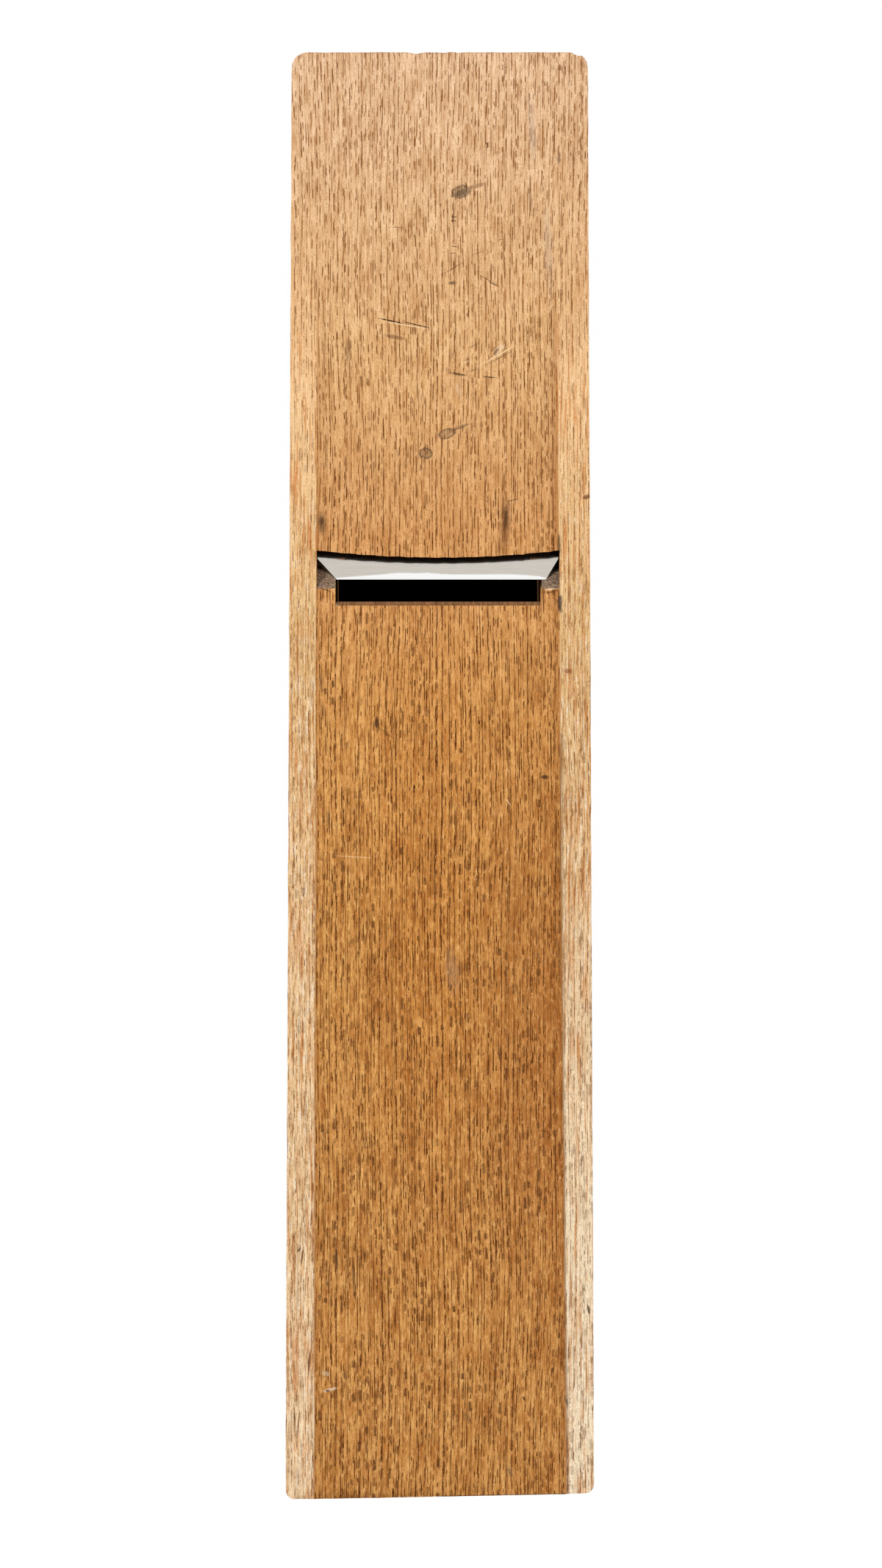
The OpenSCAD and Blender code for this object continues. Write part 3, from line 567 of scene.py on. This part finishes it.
# The bevel is ground through both layers of the blade. The hard steel shows as a bright band along the
# edge, and its upper line wavers where the two were welded. Heights are in mm, at pixels across the photo.
bevelLook = {
    "edge": -0.05354,
    "weldLine": ((432, 0.0), (458, 0.4), (489, 0.9), (518, 1.33), (535, 1.7), (552, 1.8), (564, 1.67), (581, 1.83),
                 (599, 1.5), (619, 1.38), (647, 1.35), (670, 1.42), (693, 1.38), (716, 1.17), (734, 0.87),
                 (742, 0.4), (760, 0.0)),
    "fullHeight": 2.0,
    "halfWidth": 0.035,
    "waver": (0.0012, 0.0009, 0.01),
    "scratch": (0.00022, 0.007, 0.002),
    "ironDark": "#c7c0b7",
    "ironLight": "#d0cac1",
    "steel": "#f6f6f4",
    # The ends of the painted highlights along the clipped ears, in pixels.
    "ears": (((432, 766), (457, 787)), ((759, 768), (743, 787))),
}


def bevelMaterial():
    look = bevelLook
    material, tree = newMaterial("ground bevel, iron and steel")
    place = addNode(tree, "ShaderNodeTexCoord").outputs["Object"]
    axes = addNode(tree, "ShaderNodeSeparateXYZ", {0: place}).outputs
    scratch = noise(tree, place, look["scratch"], 3.0, 0.5)
    iron = ramp(tree, scratch, [(0.3, look["ironDark"]), (0.7, look["ironLight"])])
    half = look["halfWidth"]
    across = multiplyAdd(tree, axes[1], -0.5 / half, 0.5)
    stops = []
    for pixel, height in look["weldLine"]:
        share = height / look["fullHeight"]
        stops.append((0.5 - 0.5 * atPixel(pixel, 0)[1] / half, share))
    line = ramp(tree, across, stops)
    line = addNode(tree, "ShaderNodeSeparateColor", {0: line}).outputs[0]
    waver = multiplyAdd(tree, noise(tree, place, look["waver"], 2.0, 0.5), 0.1, -0.05)
    above = multiplyAdd(tree, axes[0], -1000 / look["fullHeight"], 1000 * look["edge"] / look["fullHeight"])
    above = maths(tree, "ADD", maths(tree, "SUBTRACT", above, line), waver)
    isSteel = smoothStep(tree, above, 0.12, -0.08)
    base = mixColour(tree, isSteel, iron, colour(look["steel"]))
    # A thin painted highlight runs along the edge of each clipped ear.
    for end in look["ears"]:
        (x0, y0), (x1, y1) = [atPixel(*corner) for corner in end]
        turn = math.degrees(math.atan2(y1 - y0, x1 - x0))
        earHighlight = oval(tree, place, ((x0 + x1) / 2, (y0 + y1) / 2), (0.0045, 0.00022), turn, 0.6)
        base = mixColour(tree, earHighlight, base, colour("#ffffff"))
    inputs = {"Base Color": base, "Metallic": 1.0, "Roughness": 0.13}
    finishMaterial(tree, inputs, scratch, 0.03, 0.00005)
    return material


oak = oakMaterial()
bevelMetal = bevelMaterial()
throatOak = throatMaterial()
metals = {name: metalMaterial(name) for name in metalLooks}
print("materials made")


def paint(name, material):
    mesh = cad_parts[name].data
    mesh.materials.clear()
    mesh.materials.append(material)


paint("pin", metals["drawn steel rod"])
paint("blade_iron", metals["forged iron with scale"])
paint("blade_steel", metals["polished hard steel"])
paint("chip_breaker_iron", metals["forged iron with scale"])
paint("chip_breaker_steel", metals["polished hard steel"])


# The bevel is the faces of the blade that look down, out of the mouth.
def paintBevel():
    for name in ("blade_iron", "blade_steel"):
        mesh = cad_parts[name].data
        mesh.materials.append(bevelMetal)
        for face in mesh.polygons:
            if face.normal.z < -0.94:
                face.material_index = 1


paintBevel()
print("nodes painted")


# The block is a copy of its node, cut into small cells and worn. Sizes are in metres.
wear = {
    "coarse": 0.0025,
    "fine": 0.001,
    "heights": (0.0012, 0.003, 0.007, 0.014, 0.022, 0.03, 0.035),
    "edgeLoss": 0.00016,
    "mouthLoss": 0.00013,
    "hollow": 0.00004,
    "tearDepth": 0.00028,
    "throat": (-0.0765, -0.0455, 0.0332),
    "sharpDegrees": 24,
    # Chips out of the head end's lower edge: middle and half width in pixels, and depth.
    "chips": ((566, 9, 0.0005), (602, 4, 0.0004), (626, 3, 0.0003), (786, 7, 0.0009), (404, 8, 0.0004)),
    # Splits in the strips: ends in pixels, half width and depth.
    "splits": (((411, 1672), (409, 1735), 0.0011, 0.0007), ((421, 1828), (417, 1872), 0.0010, 0.0008),
               ((404, 1905), (401, 1972), 0.0013, 0.0009), ((400, 1872), (396, 1900), 0.0012, 0.0005),
               ((412, 1745), (410, 1790), 0.0009, 0.0005), ((792, 1000), (790, 1060), 0.0010, 0.0005),
               ((786, 930), (787, 975), 0.0008, 0.0004)),
}


# A smooth wave pattern between -1 and 1: four sine waves of unlike lengths, summed.
def ripple(along, across, length, seed):
    total = np.zeros_like(along)
    for step in range(4):
        angle = seed * 1.7 + step * 2.4
        place = along * np.cos(angle) + across * np.sin(angle)
        total += np.sin(place * 2 * math.pi / length * (1 + 0.37 * step) + seed * 3.1 + step * 1.9)
    return total / 4


# 1 where the value is at the middle, falling to 0 at half a width away.
def bump(value, middle, half):
    return np.clip(1 - ((value - middle) / half) ** 2, 0, 1)


# Cuts the mesh along planes square to an axis, one plane for each place.
def sliceMesh(bm, axis, places):
    normal = [0, 0, 0]
    normal[axis] = 1
    for place in places:
        point = [0, 0, 0]
        point[axis] = place
        parts = bm.verts[:] + bm.edges[:] + bm.faces[:]
        bmesh.ops.bisect_plane(bm, geom=parts, plane_co=point, plane_no=normal, dist=1e-7)


# Takes out the edges that only divided the node's flat faces into triangles.
def joinFlats(bm, planes):
    spare = []
    for edge in bm.edges:
        if len(edge.link_faces) != 2 or edge.calc_face_angle(1.0) > 0.002:
            continue
        a, b = [vert.co for vert in edge.verts]
        kept = any(abs(a[axis] - b[axis]) < 1e-6 and np.min(np.abs(places - a[axis])) < 1e-6
                   for axis, places in enumerate(planes))
        if not kept:
            spare.append(edge)
    bmesh.ops.dissolve_edges(bm, edges=spare, use_verts=True)


# How each point of the block moves in wear. place is an array of points, one to a row.
def worn(place):
    x, y, z = place.T
    low, high = (np.array(corner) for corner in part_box("block"))
    halfWidth = high[1] - 0.0017 * (high[0] - x) / (high[0] - low[0])
    # The long edges and the ends lose a little, most at the sole.
    nearSole = np.clip(1 - z / 0.012, 0.15, 1)
    atSide = np.clip(1 - (halfWidth - np.abs(y)) / 0.0012, 0, 1)
    loss = wear["edgeLoss"] * (0.5 + 0.5 * ripple(x, z, 0.021, 1.0 + (y > 0))) * nearSole
    loss += 0.00008 * np.clip(ripple(x, z, 0.0043, 2.0 + (y > 0)), 0, 1) * nearSole
    newY = y - np.sign(y) * loss * atSide
    atHead = np.clip(1 - (x - low[0]) / 0.0012, 0, 1)
    atTail = np.clip(1 - (high[0] - x) / 0.0025, 0, 1)
    endLoss = wear["edgeLoss"] * (0.5 + 0.5 * ripple(y, z, 0.013, 5.0)) * nearSole
    newX = x + endLoss * atHead - endLoss * atTail
    for middle, half, depth in wear["chips"]:
        spot = atPixel(middle, 0)[1]
        chip = bump(y, spot, half / photo["pxPerMetre"]) * np.clip(1 - z / 0.0035, 0, 1)
        newX += depth * chip * atHead
    # The strips begin where the photograph shows it, which isn't quite parallel.
    slope, start = [np.where(y > 0, *pair) for pair in zip(oakLook["leftLine"], oakLook["rightLine"])]
    shift = (slope * x + start - 0.0335) * np.clip((x + 0.03) / 0.03, 0, 1)
    atStep = (np.abs(y) > 0.0332) & (np.abs(y) < 0.034) & (z < 0.0016)
    newY += np.sign(y) * shift * atStep
    # The sole isn't quite flat, and the strips are torn where they were cut against the grain.
    onSole = (z < 0.0022) & (z > -0.001)
    inner = np.clip((halfWidth - np.abs(y) - 0.001) / 0.002, 0, 1)
    newZ = z + wear["hollow"] * (0.5 + 0.5 * ripple(x, y, 0.06, 7.0)) * onSole * inner
    onStrip = (np.abs(y) > 0.0337) & (z > 0.0003) & onSole & (x > -0.09)
    torn = np.clip(ripple(x, y * 9, 0.017, 8.0) + ripple(x, y * 5, 0.007, 9.0) - 0.15, 0, 1)
    grows = np.clip((x + 0.09) / 0.15, 0, 1)
    newZ += wear["tearDepth"] * torn * onStrip * grows * inner
    for start, end, half, depth in wear["splits"]:
        (x0, y0), (x1, y1) = atPixel(*start), atPixel(*end)
        part = np.clip((x - x0) / (x1 - x0), 0, 1)
        apart = np.hypot(x - (x0 + part * (x1 - x0)), y - (y0 + part * (y1 - y0)))
        newZ += depth * bump(apart, 0, half) * onStrip * inner
    # The mouth's rear edge is a little ragged.
    rear = (z < 0.0001) & (np.abs(y) < 0.0325) & (x > -0.0625) & (x < -0.0585)
    ragged = ripple(y, x, 0.0061, 11.0) + 0.7 * ripple(y, x, 0.0027, 12.0)
    newX += wear["mouthLoss"] * ragged * rear
    return np.column_stack([newX, newY, newZ])


def wornBlock():
    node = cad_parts["block"]
    bm = bmesh.new()
    bm.from_mesh(node.data)
    bmesh.ops.remove_doubles(bm, verts=bm.verts, dist=1e-6)
    low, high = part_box("block")
    planes = (
        np.arange(low.x + wear["fine"], high.x, wear["coarse"]),
        np.concatenate([np.arange(-0.0416, -0.0336, wear["fine"]), np.arange(-0.0325, 0.033, wear["fine"] * 1.3),
                        np.arange(0.0342, 0.0418, wear["fine"])]),
        np.array(wear["heights"]),
    )
    for axis, places in enumerate(planes):
        sliceMesh(bm, axis, places)
    joinFlats(bm, planes)
    mesh = bpy.data.meshes.new("block_worn")
    bm.to_mesh(mesh)
    bm.free()
    place = np.empty(len(mesh.vertices) * 3)
    mesh.vertices.foreach_get("co", place)
    mesh.vertices.foreach_set("co", worn(place.reshape(-1, 3)).ravel())
    mesh.update()
    mesh.shade_smooth()
    mesh.set_sharp_from_angle(angle=math.radians(wear["sharpDegrees"]))
    mesh.materials.append(oak)
    mesh.materials.append(throatOak)
    # The throat's walls are the faces inside its outline that are neither sole nor top.
    back, front, half = wear["throat"]
    for face in mesh.polygons:
        x, y, z = face.center
        wall = back < x < front and abs(y) < half and 0.0002 < z < high.z - 0.0002
        face.material_index = 1 if wall else 0
    block = bpy.data.objects.new("block_worn", mesh)
    bpy.context.scene.collection.objects.link(block)
    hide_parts("block")
    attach(block, "block")
    return block


wornBlock()
print("block worn:", len(bpy.data.meshes["block_worn"].polygons), "faces")


# The floor lies under the sole and is seen from above. The board lies on the block's top and is seen from
# below; the blade's head stands through it. Each is clear from its other side.
stageLook = {"tone": "#f7f6f4", "size": 40.0, "floorDrop": 0.0002, "boardGap": 0.0002, "shadowReach": 0.05, "glow": 0.45}


# The floor takes the lamps' own shadows, softened by a part of plain white, and is all white far off.
def floorShader(tree):
    place = addNode(tree, "ShaderNodeTexCoord").outputs["Object"]
    far = addNode(tree, "ShaderNodeVectorMath", {0: place}, operation="LENGTH").outputs["Value"]
    white = smoothStep(tree, far, 0.4, 1.6, 1 - stageLook["glow"], stageLook["glow"])
    pale = addNode(tree, "ShaderNodeBsdfDiffuse", {"Color": colour(stageLook["tone"])}).outputs[0]
    glow = addNode(tree, "ShaderNodeEmission", {"Color": (1, 1, 1, 1), "Strength": 1.0}).outputs[0]
    return addNode(tree, "ShaderNodeMixShader", {0: white, 1: pale, 2: glow}).outputs[0]


# The board is white, with painted shade where the block stands round it and over the throat: its glow follows the
# ambient occlusion.
def boardShader(tree):
    inputs = {"Distance": stageLook["shadowReach"]}
    clear = addNode(tree, "ShaderNodeAmbientOcclusion", inputs, samples=16).outputs["AO"]
    strength = smoothStep(tree, clear, 0.3, 0.46)
    return addNode(tree, "ShaderNodeEmission", {"Color": (1, 1, 1, 1), "Strength": strength}).outputs[0]


def stageMaterial(name, shader):
    material, tree = newMaterial(name)
    behind = addNode(tree, "ShaderNodeNewGeometry").outputs["Backfacing"]
    clear = addNode(tree, "ShaderNodeBsdfTransparent").outputs[0]
    mix = addNode(tree, "ShaderNodeMixShader", {0: behind, 1: shader(tree), 2: clear})
    addNode(tree, "ShaderNodeOutputMaterial", {0: mix.outputs[0]})
    return material


def stageSheet(name, height, up, shader):
    half = stageLook["size"] / 2
    corners = [(-half, -half), (half, -half), (half, half), (-half, half)]
    if not up:
        corners.reverse()
    mesh = bpy.data.meshes.new(name)
    mesh.from_pydata([(x, y, height) for x, y in corners], [], [(0, 1, 2, 3)])
    mesh.materials.append(stageMaterial(name, shader))
    sheet = bpy.data.objects.new(name, mesh)
    bpy.context.scene.collection.objects.link(sheet)
    sheet.visible_shadow = False
    sheet.visible_diffuse = False
    sheet.visible_glossy = False
    sheet.visible_transmission = False


stageSheet("pale floor", -stageLook["floorDrop"], True, floorShader)
stageSheet("pale board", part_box("block")[1].z + stageLook["boardGap"], False, boardShader)


# Each lamp's level is the brightness that it alone gives a white face turned to it.
lamps = [
    {"name": "key below", "place": (-1.0, 1.9, -2.3), "size": 1.1, "level": 0.83},
    {"name": "fill below", "place": (-0.5, -2.1, -2.4), "size": 2.5, "level": 0.57},
    {"name": "key above", "place": (-1.2, 1.3, 1.8), "size": 0.9, "level": 0.6},
    {"name": "fill above", "place": (1.4, -1.1, 1.5), "size": 1.8, "level": 0.4},
]


def addLamp(spec):
    data = bpy.data.lights.new(spec["name"], "AREA")
    data.size = spec["size"]
    place = Vector(spec["place"])
    data.energy = spec["level"] * math.pi ** 2 * place.length_squared
    lamp = bpy.data.objects.new(spec["name"], data)
    lamp.matrix_world = Matrix.Translation(place) @ (-place).to_track_quat("-Z", "Y").to_matrix().to_4x4()
    bpy.context.scene.collection.objects.link(lamp)


for spec in lamps:
    addLamp(spec)


# The world is white to the camera and in reflections, and a modest light for the rest.
def makeWorld(ambient=0.16):
    world = bpy.data.worlds.new("studio")
    world.use_nodes = True
    tree = world.node_tree
    tree.nodes.clear()
    path = addNode(tree, "ShaderNodeLightPath").outputs
    seen = maths(tree, "MAXIMUM", path["Is Camera Ray"], path["Is Glossy Ray"])
    seen = maths(tree, "MAXIMUM", seen, path["Is Transmission Ray"])
    strength = maths(tree, "MULTIPLY_ADD", seen, 1 - ambient)
    strength.node.inputs[2].default_value = ambient
    sky = addNode(tree, "ShaderNodeBackground", {"Color": (1, 1, 1, 1), "Strength": strength})
    addNode(tree, "ShaderNodeOutputWorld", {0: sky.outputs[0]})
    bpy.context.scene.world = world


makeWorld()
bpy.context.scene.view_settings.view_transform = "Standard"


# The camera looks straight up at the sole, with the head end at the top of the picture.
def addCamera(lens=100.0, sensor=36.0):
    data = bpy.data.cameras.new("camera")
    data.lens = lens
    data.sensor_width = sensor
    data.sensor_fit = "VERTICAL"
    data.sensor_height = sensor
    frameHeight = photo["height"] / photo["pxPerMetre"]
    distance = frameHeight * lens / sensor
    data.clip_start = 0.05
    data.clip_end = 20
    camera = bpy.data.objects.new("camera", data)
    x, y = atPixel(photo["width"] / 2, photo["height"] / 2)
    turn = Matrix(((0, -1, 0), (-1, 0, 0), (0, 0, -1)))
    camera.matrix_world = Matrix.Translation((x, y, -distance)) @ turn.to_4x4()
    bpy.context.scene.collection.objects.link(camera)
    bpy.context.scene.camera = camera


addCamera()
print("stage, lamps and camera made")
